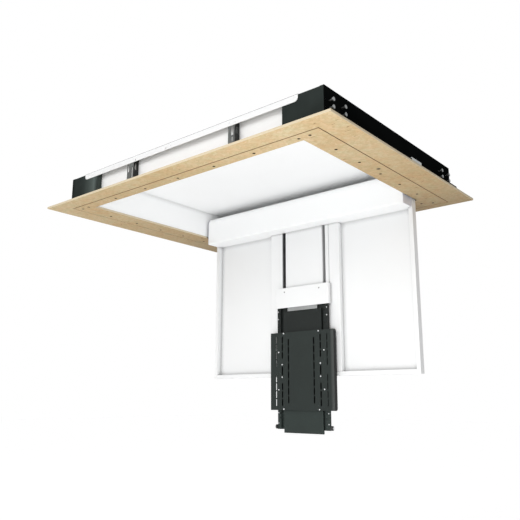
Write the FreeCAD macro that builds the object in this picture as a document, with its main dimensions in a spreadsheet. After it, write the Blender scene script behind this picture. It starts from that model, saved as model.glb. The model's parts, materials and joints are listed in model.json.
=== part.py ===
import FreeCAD, Part
import math
import os
import Sketcher

# Driving sizes in millimetres
SIZES = {
    "bay_half": 802,
    "panel_y": 670,
    "housing_depth": 200,
    "board_thickness": 12,
    "joint_gap": 3,
    "recess": 37,
    "sheet": 2,
    "lip_height": 10,
    "rail_drop": 36,
    "anchor_radius": 5.5,
    "screw_head_radius": 7.5,
    "screw_shank_radius": 2.5,
    "access_radius": 11,
    "bolt_radius": 4.5,
    "bolt_head_radius": 9.5,
    "bolt_reach": 24,
    "hinge_pin_radius": 8,
    "frame_bar": 25,
    "frame_depth": 38,
    "skin_thickness": 5,
    "box_depth": 101,
    "box_height": 197,
    "flap_gear_module": 3,
    "shaft_radius": 6,
    "guide_inner_x": 176,
    "guide_width": 101,
    "groove_width": 25,
    "lift_gear_module": 2.5,
    "lift_shaft_radius": 4,
    "lift_shaft_drop": 700,
    "column_length": 810,
    "column_depth": 14,
    "plate_height": 495,
    "plate_thickness": 2.5,
    "plate_flange": 30,
    "slot_radius": 5,
    "outer_slot_radius": 3.3,
    "slot_length": 44,
    "roller_radius": 14,
    "fit": 0.05,
}


class Size:
    """A length held as a number and as the text that binds it to the sheet."""

    def __init__(self, value, text):
        self.value = float(value)
        self.text = text

    def __add__(self, other):
        other = size(other)
        return Size(self.value + other.value, f"({self.text} + {other.text})")

    def __radd__(self, other):
        return size(other) + self

    def __sub__(self, other):
        other = size(other)
        return Size(self.value - other.value, f"({self.text} - {other.text})")

    def __rsub__(self, other):
        return size(other) - self

    def __mul__(self, other):
        other = size(other)
        return Size(self.value * other.value, f"({self.text} * {other.text})")

    def __rmul__(self, other):
        return size(other) * self

    def __truediv__(self, other):
        other = size(other)
        return Size(self.value / other.value, f"({self.text} / {other.text})")

    def __neg__(self):
        return Size(-self.value, f"(-1 * {self.text})")


def size(number):
    """Return the number as a Size."""
    if isinstance(number, Size):
        return number
    text = f"{number:.6f}"
    return Size(number, text if number >= 0 else f"(0 - {-number:.6f})")


class Sheet:
    """The spreadsheet of driving sizes, one attribute for each."""

    def __init__(self, doc, values):
        self.table = doc.addObject("Spreadsheet::Sheet", "Dims")
        for row, (name, value) in enumerate(values.items(), start=1):
            self.table.set(f"A{row}", name)
            self.table.set(f"B{row}", str(value))
            self.table.setAlias(f"B{row}", name)
            setattr(self, name, Size(value, f"Dims.{name}"))


doc = FreeCAD.newDocument("CeilingLift")
dim = Sheet(doc, SIZES)
doc.recompute()
pieces = []


# Sizes that follow from the driving ones

def derive_housing(dim):
    """Places of the housing's parts, tied to the bay and to the long side panels."""
    dim.bay_near = dim.panel_y - 70
    dim.bay_far = dim.panel_y - 117
    dim.base_inner_x = dim.bay_half + 22
    dim.rail_half = dim.bay_half + 20
    dim.joint_x = dim.bay_half + 131
    dim.panel_x = dim.bay_half + 160
    dim.lip_x = dim.panel_x + 98
    dim.half_length = dim.lip_x + 3
    dim.corner_left = dim.panel_x - 259
    dim.corner_right = dim.panel_x - 233
    dim.anchor_x = dim.bay_half - 202
    dim.board_near = dim.panel_y + 102
    dim.board_far = dim.panel_y + 89
    dim.joint_near = dim.panel_y + 1
    dim.joint_far = dim.panel_y + 28
    dim.lip_y = dim.panel_y - 123
    dim.rail_inner_y = dim.panel_y - 70
    dim.anchor_y = dim.panel_y - 18
    dim.screw_row_near = dim.panel_y - 42
    dim.screw_row_far = dim.panel_y - 45
    dim.screw_row_centre = size(-18)
    dim.screw_row_pitch = (dim.bay_half + 9.5) / 3
    dim.screw_column_left = dim.bay_half + 88
    dim.screw_column_right = dim.bay_half + 54
    dim.screw_column_pitch = (dim.screw_row_near + dim.screw_row_far + 28) / 6


def derive_flap(dim):
    """Places of the flap's parts, tied to the bay with a gap all round."""
    dim.pivot_y = dim.bay_far - 73
    dim.pivot_drop = dim.housing_depth - 53
    dim.flap_half = dim.bay_half - 5
    dim.flap_top_drop = dim.pivot_drop - 61
    dim.flap_bottom_drop = dim.pivot_drop + dim.pivot_y + dim.bay_near - 5
    dim.flap_front_y = dim.pivot_y + 10
    dim.flap_skin_y = dim.flap_front_y + dim.frame_depth
    dim.flap_back_y = dim.flap_skin_y + dim.skin_thickness
    dim.box_half = dim.flap_half - 9
    dim.box_front_y = dim.flap_front_y - dim.box_depth
    dim.box_top_drop = dim.pivot_drop - 94
    dim.box_bottom_drop = dim.box_top_drop + dim.box_height
    dim.guide_strip_y = dim.flap_front_y
    dim.guide_front_y = dim.flap_front_y + 4
    dim.guide_outer_x = dim.guide_inner_x + dim.guide_width
    dim.panel_guide_x = dim.guide_inner_x - dim.groove_width


def derive_lift(dim):
    """Places of the lift's parts, tied to the guide and to the lift shaft."""
    dim.column_back_y = dim.guide_strip_y - 10
    dim.column_front_y = dim.column_back_y - dim.column_depth
    dim.column_half = dim.guide_inner_x + 26
    dim.column_top_drop = dim.lift_shaft_drop + 40
    dim.column_bottom_drop = dim.column_top_drop + dim.column_length
    dim.cover_front_y = dim.column_front_y - 4
    dim.cover_half = dim.column_half + 9
    dim.cover_top_drop = dim.lift_shaft_drop - 60
    dim.cover_bottom_drop = dim.lift_shaft_drop + 73
    dim.lift_shaft_y = dim.cover_front_y + dim.sheet + 0.8 + 6.88 * dim.lift_gear_module
    dim.plate_half = dim.column_half + 47
    dim.plate_front_y = dim.column_front_y - 16
    dim.plate_top_drop = dim.column_top_drop + 197
    dim.plate_bottom_drop = dim.plate_top_drop + dim.plate_height
    dim.slot_pitch = dim.plate_height / 9.9
    dim.roller_y = dim.column_front_y + dim.column_depth / 2
    dim.roller_drop = dim.column_bottom_drop - 15


derive_housing(dim)
derive_flap(dim)
derive_lift(dim)

NORMAL_SIGN = {"XY": 1, "YZ": 1, "XZ": -1}


def keep(obj, name):
    """Give a finished sub-part its name and note it for export."""
    obj.Label = name
    pieces.append(obj)
    return obj


# Sketch shapes

def polygon(*corners):
    """A closed outline of straight lines."""
    def draw(sketch):
        count = len(corners)
        first = sketch.GeometryCount
        points = [(size(u), size(v)) for u, v in corners]
        for index in range(count):
            start = points[index]
            end = points[(index + 1) % count]
            sketch.addGeometry(Part.LineSegment(
                FreeCAD.Vector(start[0].value, start[1].value, 0),
                FreeCAD.Vector(end[0].value, end[1].value, 0)))
        for index in range(count):
            line = first + index
            following = first + (index + 1) % count
            sketch.addConstraint(Sketcher.Constraint("Coincident", line, 2, following, 1))
        for index in range(count):
            fix_point(sketch, first + index, 1, points[index])
    return draw


def disc(u, v, radius):
    """A circle with its centre at u, v."""
    def draw(sketch):
        centre = (size(u), size(v))
        round_size = size(radius)
        circle = sketch.GeometryCount
        sketch.addGeometry(Part.Circle(
            FreeCAD.Vector(centre[0].value, centre[1].value, 0),
            FreeCAD.Vector(0, 0, 1), round_size.value))
        bound(sketch, Sketcher.Constraint("Radius", circle, round_size.value), round_size)
        fix_point(sketch, circle, 3, centre)
    return draw


def slot(u, v, half, radius):
    """An upright slot with round ends, its end centres half above and below v."""
    def draw(sketch):
        left = size(u) - radius
        right = size(u) + radius
        low = size(v) - half
        high = size(v) + half
        middle = size(u)
        first = sketch.GeometryCount
        normal = FreeCAD.Vector(0, 0, 1)
        sketch.addGeometry(Part.LineSegment(
            FreeCAD.Vector(left.value, low.value, 0), FreeCAD.Vector(left.value, high.value, 0)))
        sketch.addGeometry(Part.LineSegment(
            FreeCAD.Vector(right.value, high.value, 0), FreeCAD.Vector(right.value, low.value, 0)))
        top = Part.Circle(FreeCAD.Vector(middle.value, high.value, 0), normal, size(radius).value)
        bottom = Part.Circle(FreeCAD.Vector(middle.value, low.value, 0), normal, size(radius).value)
        sketch.addGeometry(Part.ArcOfCircle(top, 0, math.pi))
        sketch.addGeometry(Part.ArcOfCircle(bottom, math.pi, 2 * math.pi))
        sketch.addConstraint(Sketcher.Constraint("Coincident", first, 2, first + 2, 2))
        sketch.addConstraint(Sketcher.Constraint("Coincident", first + 1, 1, first + 2, 1))
        sketch.addConstraint(Sketcher.Constraint("Coincident", first, 1, first + 3, 1))
        sketch.addConstraint(Sketcher.Constraint("Coincident", first + 1, 2, first + 3, 2))
        fix_point(sketch, first, 1, (left, low))
        fix_point(sketch, first, 2, (left, high))
        fix_point(sketch, first + 1, 1, (right, high))
        fix_point(sketch, first + 1, 2, (right, low))
        bound(sketch, Sketcher.Constraint("DistanceY", -1, 1, first + 2, 3, high.value), high)
        bound(sketch, Sketcher.Constraint("DistanceY", -1, 1, first + 3, 3, low.value), low)
    return draw


def hexagon(u, v, radius):
    """A nut's outline, its corners at the radius."""
    turns = [math.radians(60 * step) for step in range(6)]
    return polygon(*[(u + radius * math.cos(turn), v + radius * math.sin(turn)) for turn in turns])


def bound(sketch, constraint, value):
    """Add a constraint and bind it to the sheet."""
    index = sketch.addConstraint(constraint)
    sketch.setExpression(f"Constraints[{index}]", value.text)


def fix_point(sketch, geometry, point, place):
    """Hold one point of a sketch at its two distances from the origin."""
    u, v = place
    bound(sketch, Sketcher.Constraint("DistanceX", -1, 1, geometry, point, u.value), u)
    bound(sketch, Sketcher.Constraint("DistanceY", -1, 1, geometry, point, v.value), v)


class Piece:
    """A body built feature by feature from sketches on the main planes."""

    def __init__(self, name, kept=True):
        self.name = name
        self.body = doc.addObject("PartDesign::Body", name)
        self.body.AllowCompound = True
        if kept:
            keep(self.body, name)

    def sketch(self, plane, level, shapes, at=None):
        sketch = self.body.newObject("Sketcher::SketchObject", f"{self.name}_sketch")
        role = f"{plane}_Plane"
        origin = [item for item in self.body.Origin.OriginFeatures if item.Role == role][0]
        sketch.AttachmentSupport = [(origin, "")]
        sketch.MapMode = "FlatFace"
        sketch.setExpression("AttachmentOffset.Base.z", (size(level) * NORMAL_SIGN[plane]).text)
        if at is not None:
            sketch.setExpression("AttachmentOffset.Base.x", size(at[0]).text)
            sketch.setExpression("AttachmentOffset.Base.y", size(at[1]).text)
        for shape in shapes:
            shape(sketch)
        return sketch

    def pad(self, plane, span, *shapes, at=None):
        low, high = size(span[0]), size(span[1])
        level = high if plane == "XZ" else low
        return self.feature("PartDesign::Pad", plane, level, high - low, shapes, at)

    def pocket(self, plane, span, *shapes, at=None):
        low, high = size(span[0]), size(span[1])
        level = low if plane == "XZ" else high
        return self.feature("PartDesign::Pocket", plane, level, high - low, shapes, at)

    def feature(self, kind, plane, level, length, shapes, at):
        sketch = self.sketch(plane, level, shapes, at)
        feature = self.body.newObject(kind, f"{self.name}_feature")
        feature.Profile = sketch
        feature.setExpression("Length", length.text)
        doc.recompute()
        return feature

    def turn_pattern(self, feature, count, angle):
        """Repeat a feature about its sketch's own normal."""
        pattern = self.body.newObject("PartDesign::PolarPattern", f"{self.name}_pattern")
        pattern.Originals = [feature]
        pattern.Axis = (feature.Profile[0], ["N_Axis"])
        pattern.Angle = angle
        pattern.Occurrences = count
        return self.finish_pattern(pattern)

    def line_pattern(self, features, axis, count, pitch):
        """Repeat features along an axis of the first one's sketch."""
        pattern = self.body.newObject("PartDesign::LinearPattern", f"{self.name}_pattern")
        pattern.Originals = features
        pattern.Direction = (features[0].Profile[0], [axis])
        pattern.setExpression("Length", (size(pitch) * (count - 1)).text)
        pattern.Occurrences = count
        return self.finish_pattern(pattern)

    def finish_pattern(self, pattern):
        self.body.Tip = pattern
        doc.recompute()
        return pattern

    def edges(self, x=None, y=None, z=None, along=None):
        """Names of the straight edges whose middle lies at the given places."""
        wanted = [None if item is None else size(item).value for item in (x, y, z)]
        names = []
        for index, edge in enumerate(self.body.Tip.Shape.Edges, start=1):
            middle = edge.CenterOfMass
            place = (middle.x, middle.y, middle.z)
            off = [abs(a - b) for a, b in zip(place, wanted) if b is not None]
            if max(off, default=0) > 0.01 or edge.Curve.TypeId != "Part::GeomLine":
                continue
            if along is not None:
                direction = edge.tangentAt(edge.FirstParameter)
                if abs(getattr(direction, along)) < 0.999:
                    continue
            names.append(f"Edge{index}")
        return names

    def fillet(self, radius, names):
        return self.dress("PartDesign::Fillet", "Radius", radius, names)

    def chamfer(self, width, names):
        return self.dress("PartDesign::Chamfer", "Size", width, names)

    def dress(self, kind, prop, value, names):
        base = self.body.Tip
        feature = self.body.newObject(kind, f"{self.name}_dress")
        feature.Base = (base, names)
        feature.setExpression(prop, size(value).text)
        self.body.Tip = feature
        doc.recompute()
        return feature


def mirrored(source, name, axis="x"):
    """A mirror image of a sub-part across the middle plane."""
    image = doc.addObject("Part::Mirroring", name)
    image.Source = source
    image.Normal = FreeCAD.Vector(1, 0, 0) if axis == "x" else FreeCAD.Vector(0, 1, 0)
    return keep(image, name)


def box_outline(x, z):
    """Corners of a rectangle from two spans."""
    return polygon((x[0], z[0]), (x[1], z[0]), (x[1], z[1]), (x[0], z[1]))


# Levels and places used by many sub-parts
sheet = dim.sheet
bottom = -dim.housing_depth
board_top = dim.board_thickness - dim.housing_depth
recess_y = dim.panel_y - dim.recess
roof_low = -2 * sheet
liner_x = dim.bay_half + 4
liner_near = -(dim.bay_near + 4)
liner_far = dim.bay_near
pivot = (dim.pivot_y, -dim.pivot_drop)
sector_radius = 15 * dim.flap_gear_module
pinion_radius = 5 * dim.flap_gear_module
flap_shaft_at = (dim.pivot_y - sector_radius - pinion_radius, -dim.pivot_drop)
lift_shaft_at = (dim.lift_shaft_y, -dim.lift_shaft_drop)
rack_pitch_y = dim.lift_shaft_y + 6 * dim.lift_gear_module
rack_middle = dim.guide_inner_x - 3.5
flap_bottom = -dim.flap_bottom_drop
flap_top = -dim.flap_top_drop
plate_middle = -(dim.plate_top_drop + dim.plate_bottom_drop) / 2
access_place = (dim.bay_half + 82, -59)
cable_entry = (-30, 79)


# Housing

def screw_places():
    """Centres of the screws in the inner ring board."""
    places = []
    for step in range(-3, 4):
        x = dim.screw_row_centre + step * dim.screw_row_pitch
        places.append((x, -dim.screw_row_near))
        places.append((x, dim.screw_row_far))
    for step in range(7):
        y = step * dim.screw_column_pitch - dim.screw_row_near
        places.append((-dim.screw_column_left, y))
        places.append((dim.screw_column_right, y))
    return places


def make_boards():
    span = (bottom, board_top)
    outer = Piece("board_outer")
    outer.pad("XY", span,
              box_outline((-dim.half_length, dim.half_length), (-dim.board_near, dim.board_far)),
              box_outline((-dim.joint_x, dim.joint_x), (-dim.joint_near, dim.joint_far)))
    middle = (dim.board_far - dim.board_near) / 2
    outer.chamfer(1.5, outer.edges(z=bottom, x=0) + outer.edges(z=bottom, y=middle))
    gap = dim.joint_gap
    inner = Piece("board_inner")
    inner.pad("XY", span,
              box_outline((gap - dim.joint_x, dim.joint_x - gap),
                          (gap - dim.joint_near, dim.joint_far - gap)),
              box_outline((-dim.bay_half, dim.bay_half), (-dim.bay_near, dim.bay_far)))
    places = screw_places()
    seat = [disc(x, y, dim.screw_head_radius + 0.3) for x, y in places]
    inner.pocket("XY", (bottom, bottom + 3), *seat)
    holes = [disc(x, y, dim.screw_shank_radius + dim.fit) for x, y in places]
    holes.append(disc(*access_place, dim.access_radius))
    inner.pocket("XY", (bottom, board_top), *holes)
    inner.chamfer(1, inner.edges(z=bottom, x=0))


def make_board_screws():
    screws = Piece("board_screws")
    places = screw_places()
    screws.pad("XY", (bottom + 0.6, bottom + 3),
               *[disc(x, y, dim.screw_head_radius) for x, y in places])
    screws.pad("XY", (bottom + 3, board_top + 6),
               *[disc(x, y, dim.screw_shank_radius) for x, y in places])


def bolt_places():
    """Centres of the bolts on an end panel's web."""
    rows = (46 - dim.panel_y, 146 - dim.panel_y, dim.panel_y - 152, dim.panel_y - 56)
    return [(y, size(z)) for y in rows for z in (-62, -99)]


def beside(face, side, *steps):
    """Levels beside a face, in rising order; steps count outwards."""
    return sorted((face + side * step for step in steps), key=lambda item: item.value)


def make_end_panel(name, side, corner):
    """Web, flanges and corner boxes on one short side."""
    panel = Piece(name)
    x = dim.panel_x
    wide = dim.panel_y - 2 * sheet
    base = (board_top, board_top + sheet)
    profile = [(x - 25, 0), (x, 0), (x, board_top), (dim.base_inner_x, board_top),
               (dim.base_inner_x, board_top + sheet), (x - sheet, board_top + sheet),
               (x - sheet, -sheet), (x - 25, -sheet)]
    panel.pad("XZ", (-wide, wide), polygon(*[(side * u, v) for u, v in profile]))
    for end in (-1, 1):
        path = [(x - sheet, dim.panel_y - 30), (x, dim.panel_y - 30), (x, dim.panel_y),
                (corner, dim.panel_y), (corner, recess_y - sheet),
                (corner - 20, recess_y - sheet), (corner - 20, recess_y - 2 * sheet),
                (corner + sheet, recess_y - 2 * sheet), (corner + sheet, dim.panel_y - sheet),
                (x - sheet, dim.panel_y - sheet)]
        panel.pad("XY", (board_top, roof_low), polygon(*[(side * u, end * v) for u, v in path]))
    lip = [(side * (x - 1), -dim.lip_y), (side * dim.lip_x, 24 - dim.lip_y),
           (side * dim.lip_x, dim.lip_y - 24), (side * (x - 1), dim.lip_y)]
    panel.pad("XY", base, polygon(*lip))
    panel.pad("XY", (board_top, board_top + dim.lip_height),
              box_outline((side * (dim.lip_x - sheet), side * dim.lip_x),
                          (24 - dim.lip_y, dim.lip_y - 24)))
    panel.pocket("YZ", beside(side * x, side, -2 * sheet, 1),
                 *[disc(y, z, dim.bolt_radius + dim.fit) for y, z in bolt_places()],
                 *[disc(end * (dim.panel_y - 15), z, 2.5) for end in (-1, 1) for z in (-67, -104)])
    column = dim.screw_column_right if side > 0 else dim.screw_column_left
    panel.pocket("XY", base,
                 *[disc(side * column, step * dim.screw_column_pitch - dim.screw_row_near,
                        dim.screw_shank_radius + dim.fit) for step in range(7)])
    if side > 0:
        panel.pocket("XY", base, disc(*access_place, dim.access_radius))
        panel.pocket("XY", (board_top + sheet, board_top + dim.lip_height),
                     box_outline((dim.lip_x - 2 * sheet, dim.lip_x + 1), cable_entry))
    else:
        row = dim.screw_row_centre - 3 * dim.screw_row_pitch
        panel.pocket("XY", base, disc(row, -dim.screw_row_near, dim.screw_shank_radius + dim.fit),
                     disc(row, dim.screw_row_far, dim.screw_shank_radius + dim.fit))
    panel.fillet(3, panel.edges(x=side * x, y=dim.panel_y, along="z")
                 + panel.edges(x=side * x, y=-dim.panel_y, along="z"))
    return panel


def make_side_bolts():
    bolts = Piece("side_bolts")
    reach = dim.bolt_reach
    for side in (-1, 1):
        face = side * dim.panel_x
        places = bolt_places()
        bolts.pad("YZ", beside(face, side, reach - 4, reach),
                  *[disc(y, z, dim.bolt_head_radius) for y, z in places])
        bolts.pad("YZ", beside(face, side, -14, reach - 4),
                  *[disc(y, z, dim.bolt_radius) for y, z in places])
        bolts.pad("YZ", beside(face, side, -7 - sheet, -sheet), *[hexagon(y, z, 8) for y, z in places])


def make_side_panel(name, end):
    """White folded panel between the corner boxes, end is -1 near and 1 far."""
    panel = Piece(name)
    y = recess_y
    inner = y - 19
    row = dim.screw_row_near if end < 0 else dim.screw_row_far
    profile = [(y, board_top), (y, roof_low), (inner, roof_low), (inner, roof_low - sheet),
               (y - sheet, roof_low - sheet), (y - sheet, board_top + sheet),
               (inner, board_top + sheet), (inner, board_top)]
    panel.pad("YZ", (0.3 - dim.corner_left, dim.corner_right - 0.3),
              polygon(*[(end * u, v) for u, v in profile]))
    places = [(dim.screw_row_centre + step * dim.screw_row_pitch, end * row)
              for step in range(-3, 4)]
    inside = [(u, v) for u, v in places
              if 3 - dim.corner_left.value < u.value < dim.corner_right.value - 3]
    panel.pocket("XY", (board_top, board_top + sheet),
                 *[disc(u, v, dim.screw_shank_radius + dim.fit) for u, v in inside])
    lap = [(-dim.corner_left - 0.1, 0.1 - dim.corner_left + 20),
           (dim.corner_right - 20.1, dim.corner_right + 0.1)]
    for low, high in lap:
        panel.pocket("XY", (board_top, roof_low),
                     box_outline((low, high), beside(end * y, end, -20, -sheet)))
    return panel


def make_ceiling_rail(name, end):
    """White angle rail along the top edge."""
    rail = Piece(name)
    front = dim.panel_y + sheet
    profile = [(front, -dim.rail_drop), (front, 0), (dim.rail_inner_y, 0),
               (dim.rail_inner_y, -sheet), (dim.panel_y, -sheet), (dim.panel_y, -dim.rail_drop)]
    rail.pad("YZ", (-dim.rail_half, dim.rail_half), polygon(*[(end * u, v) for u, v in profile]))
    rail.fillet(3.5, rail.edges(y=end * front, z=0, along="x"))
    rail.fillet(1.5, rail.edges(y=end * dim.panel_y, z=-sheet, along="x"))
    corners = rail.edges(x=-dim.rail_half, z=-dim.rail_drop, along="y")
    corners += rail.edges(x=dim.rail_half, z=-dim.rail_drop, along="y")
    rail.fillet(20, corners)
    rail.pocket("XY", (-sheet, 0), disc(-dim.anchor_x, end * dim.anchor_y, dim.anchor_radius),
                disc(dim.anchor_x, end * dim.anchor_y, dim.anchor_radius))
    rail.pocket("XZ", beside(end * front, end, -3, 1), slot(-334, -26, 3, 3), slot(-76, -26, 3, 3),
                disc(-36, -20, 2.5), disc(396, -18, 2.5), disc(436, -24, 2.5))
    return rail


def make_bracket(name, end, low, high, cuts):
    """Hanging bracket: front plate, side web and back tab."""
    bracket = Piece(name)
    y = dim.panel_y
    path = [(low, y), (high, y), (high, recess_y), (high - 22, recess_y),
            (high - 22, recess_y + sheet), (high - sheet, recess_y + sheet),
            (high - sheet, y - sheet), (low, y - sheet)]
    bracket.pad("XY", (board_top, roof_low), polygon(*[(size(u), end * v) for u, v in path]))
    bracket.pocket("XZ", beside(end * y, end, -sheet - 0.5, 1), *cuts)
    span = (high - 2 * sheet, high + 1)
    bracket.pocket("YZ", span, slot(end * (y - 17), -60, 12, 7))
    web = (low + sheet, high + 1)
    bracket.pocket("YZ", web, polygon((end * (y + 1), 1), (end * (y + 1), -30), (end * (y - 16), 1)),
                   polygon((end * (y + 1), board_top - 1), (end * (y + 1), board_top + 17),
                           (end * (y - 15), board_top + 9), (end * (y - 18), board_top - 1)))
    return bracket


def bracket_spans():
    """Lengthwise spans of the right and the left brackets."""
    right = dim.bay_half - 414
    left = 394 - dim.bay_half
    return (right, right + 44), (left, left + 57)


def bracket_screw_places():
    """Centre of the screw in the right and in the left bracket."""
    right, left = bracket_spans()
    return (right[0] + 9, bottom + 30), (left[0] + 12, bottom + 67)


def make_brackets():
    right, left = bracket_spans()
    right_screw, left_screw = bracket_screw_places()
    right_cuts = [box_outline((right[0] + 19, right[0] + 36), (-88, -42)),
                  slot(right[0] + 27, -108, 10, 3), disc(*right_screw, 3.05)]
    left_cuts = [slot(left[0] + 12, -58, 24, 5), slot(left[0] + 45, -95, 28, 4), disc(*left_screw, 3.05)]
    for end, word in ((-1, "near"), (1, "far")):
        make_bracket(f"bracket_{word}_right", end, *right, right_cuts)
        make_bracket(f"bracket_{word}_left", end, *left, left_cuts)


def make_bracket_screws():
    screws = Piece("bracket_screws")
    places = bracket_screw_places()
    for end in (-1, 1):
        face = end * dim.panel_y
        screws.pad("XZ", beside(face, end, 0, 3), *[disc(x, z, 5.5) for x, z in places])
        screws.pad("XZ", beside(face, end, -8, 0), *[disc(x, z, 3) for x, z in places])
        screws.pad("XZ", beside(face, end, -sheet - 4, -sheet), *[hexagon(x, z, 5.5) for x, z in places])


def make_roof():
    roof = Piece("roof_sheet")
    half = dim.panel_x - 2 * sheet
    deep = dim.anchor_y - 12
    roof.pad("XY", (roof_low, -sheet), box_outline((-half, half), (-deep, deep)))


def make_liners():
    top = roof_low
    low = board_top
    side = Piece("liner_right")
    x = liner_x
    profile = [(x, low), (x + 14, low), (x + 14, low + sheet), (x + sheet, low + sheet),
               (x + sheet, top), (x, top)]
    side.pad("XZ", (liner_near, liner_far), polygon(*profile))
    side.pocket("YZ", (x - 1, x + sheet + 1), disc(pivot[0], pivot[1], dim.hinge_pin_radius + dim.fit))
    mirrored(side.body, "liner_left")
    for name, y, end in (("liner_near", liner_near, -1), ("liner_far", liner_far, 1)):
        wall = Piece(name)
        points = [(y, low), (y + end * 9, low), (y + end * 9, low + sheet),
                  (y + end * sheet, low + sheet), (y + end * sheet, top), (y, top)]
        wall.pad("YZ", (-x, x), polygon(*points))


def make_cable_cover():
    cover = Piece("cable_entry_cover")
    high = board_top + 19
    low = board_top + sheet
    start, end = cable_entry
    cover.pad("XY", (low, high), box_outline((dim.lip_x - 34, dim.lip_x), (start + 0.5, end - 0.5)))
    cover.fillet(4, cover.edges(z=high, y=(start + end) / 2))
    cover.fillet(3, cover.edges(y=start + 0.5, along="z") + cover.edges(y=end - 0.5, along="z"))


def make_hinge_plates():
    plate = Piece("hinge_plate_right")
    x = liner_x + sheet
    y, z = pivot
    plate.pad("YZ", (x, x + 6), polygon(
        (y - 46, board_top + sheet), (y + 46, board_top + sheet), (y + 46, board_top + 16),
        (y + 24, z + 26), (y - 24, z + 26), (y - 46, board_top + 16)))
    plate.fillet(12, plate.edges(y=y + 24, z=z + 26) + plate.edges(y=y - 24, z=z + 26))
    plate.pad("YZ", (x + 5, x + 12), disc(y, z, 12))
    plate.pad("YZ", (dim.flap_half - 5.4, x + 6), disc(y, z, dim.hinge_pin_radius))
    mirrored(plate.body, "hinge_plate_left")


# Gears

def tooth(module, teeth, addendum, root, middle, slack):
    """One involute tooth, its corners as multiples of the module."""
    pitch = teeth / 2
    base = pitch * math.cos(math.radians(20))
    flat = math.tan(math.radians(20)) - math.radians(20)
    half = math.pi / (2 * teeth) - slack / teeth

    def half_angle(radius):
        turn = math.acos(min(1, base / radius))
        return half + flat - (math.tan(turn) - turn)

    tip = pitch + addendum
    start = max(base, root)
    radii = [root - 0.15, start] if start > root else [root - 0.15]
    radii += [start + (tip - start) * step / 4 for step in range(0 if start == root else 1, 5)]
    flank = [(radius, half_angle(max(radius, start))) for radius in radii]
    outline = [(radius, -angle) for radius, angle in flank]
    outline += [(radius, angle) for radius, angle in reversed(flank)]
    centre = math.radians(middle)
    return polygon(*[(module * (radius * math.cos(centre + angle)),
                      module * (radius * math.sin(centre + angle))) for radius, angle in outline])


def make_sectors():
    sector = Piece("sector_right")
    module = dim.flap_gear_module
    root = 15 - 0.95
    span = (dim.flap_half + 2, liner_x)
    sector.pad("YZ", span, disc(0, 0, root * module), at=pivot)
    sector.pocket("YZ", span, box_outline((-60, 60), (-60, -19)), box_outline((18, 60), (-18, 60)), at=pivot)
    profile = tooth(module, 30, 1.9 / 3, root, 72, 0.05)
    first = sector.pad("YZ", span, profile, at=pivot)
    sector.turn_pattern(first, 11, 120)
    sector.pocket("YZ", span, disc(0, 0, dim.hinge_pin_radius + dim.fit),
                  disc(-18, 18, 4), disc(-25, -8, 4), at=pivot)
    mirrored(sector.body, "sector_left")


def make_flap_drive():
    shaft = Piece("flap_shaft")
    half = dim.flap_half + 8
    shaft.pad("YZ", (-half, half), disc(0, 0, dim.shaft_radius), at=flap_shaft_at)
    pinions = Piece("flap_pinions")
    module = dim.flap_gear_module
    root = 12.7 / 3
    for low, high in ((dim.flap_half + 1.5, dim.flap_half + 7.5),
                      (-dim.flap_half - 7.5, -dim.flap_half - 1.5)):
        pinions.pad("YZ", (low, high), disc(0, 0, root * module), at=flap_shaft_at)
        first = pinions.pad("YZ", (low, high), tooth(module, 10, 0.8, root, 18, 0.05), at=flap_shaft_at)
        pinions.turn_pattern(first, 10, 360)
        pinions.pocket("YZ", (low - 1, high + 1), disc(0, 0, dim.shaft_radius + 0.01), at=flap_shaft_at)


# Flap

def make_flap():
    frame = Piece("flap_frame")
    bar = dim.frame_bar
    half = dim.flap_half
    frame.pad("XZ", (dim.flap_front_y, dim.flap_skin_y),
              box_outline((-half, half), (flap_bottom, flap_top)),
              box_outline((bar - half, half - bar), (flap_bottom + bar, flap_top - bar)))
    skin = Piece("flap_skin")
    skin.pad("XZ", (dim.flap_skin_y, dim.flap_back_y),
             box_outline((-half, half), (flap_bottom, flap_top)))


def box_profile():
    """Section of the head box's folded sheet."""
    front = dim.box_front_y
    back = dim.flap_front_y
    top = -dim.box_top_drop
    low = -dim.box_bottom_drop
    t = sheet
    return [(back - t, top - 47), (back, top - 47), (back, top), (front, top), (front, low),
            (back, low), (back, low + t), (front + t, low + t), (front + t, top - t),
            (back - t, top - t)]


def make_head_box():
    box = Piece("head_box")
    front = dim.box_front_y
    back = dim.flap_front_y
    top = -dim.box_top_drop
    low = -dim.box_bottom_drop
    half = dim.box_half
    box.pad("YZ", (-half, half), polygon(*box_profile()))
    wide = dim.flap_half - dim.frame_bar - 0.5
    notch = dim.guide_outer_x + 0.5
    floor = (low, low + sheet)
    box.pad("XY", floor, box_outline((notch, wide), (back - 1, dim.flap_skin_y)))
    box.pad("XY", floor, box_outline((-wide, -notch), (back - 1, dim.flap_skin_y)))
    box.fillet(40, box.edges(y=front, z=top, along="x"))
    box.fillet(38, box.edges(y=front + sheet, z=top - sheet, along="x"))
    box.fillet(6, box.edges(y=front, z=low, along="x"))
    box.fillet(4, box.edges(y=front + sheet, z=low + sheet, along="x"))
    box.fillet(3, box.edges(y=back, z=top, along="x"))


def make_head_box_ends():
    cap = Piece("head_box_end_right")
    span = (dim.box_half, dim.box_half + 3)
    y = (dim.box_front_y, dim.flap_front_y)
    z = (-dim.box_bottom_drop, -dim.box_top_drop)
    cap.pad("YZ", span, box_outline(y, z))
    cap.fillet(40, cap.edges(y=y[0], z=z[1], along="x"))
    cap.fillet(6, cap.edges(y=y[0], z=z[0], along="x"))
    cap.pocket("YZ", span, disc(0, 0, 10), at=flap_shaft_at)
    mirrored(cap.body, "head_box_end_left")


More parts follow.
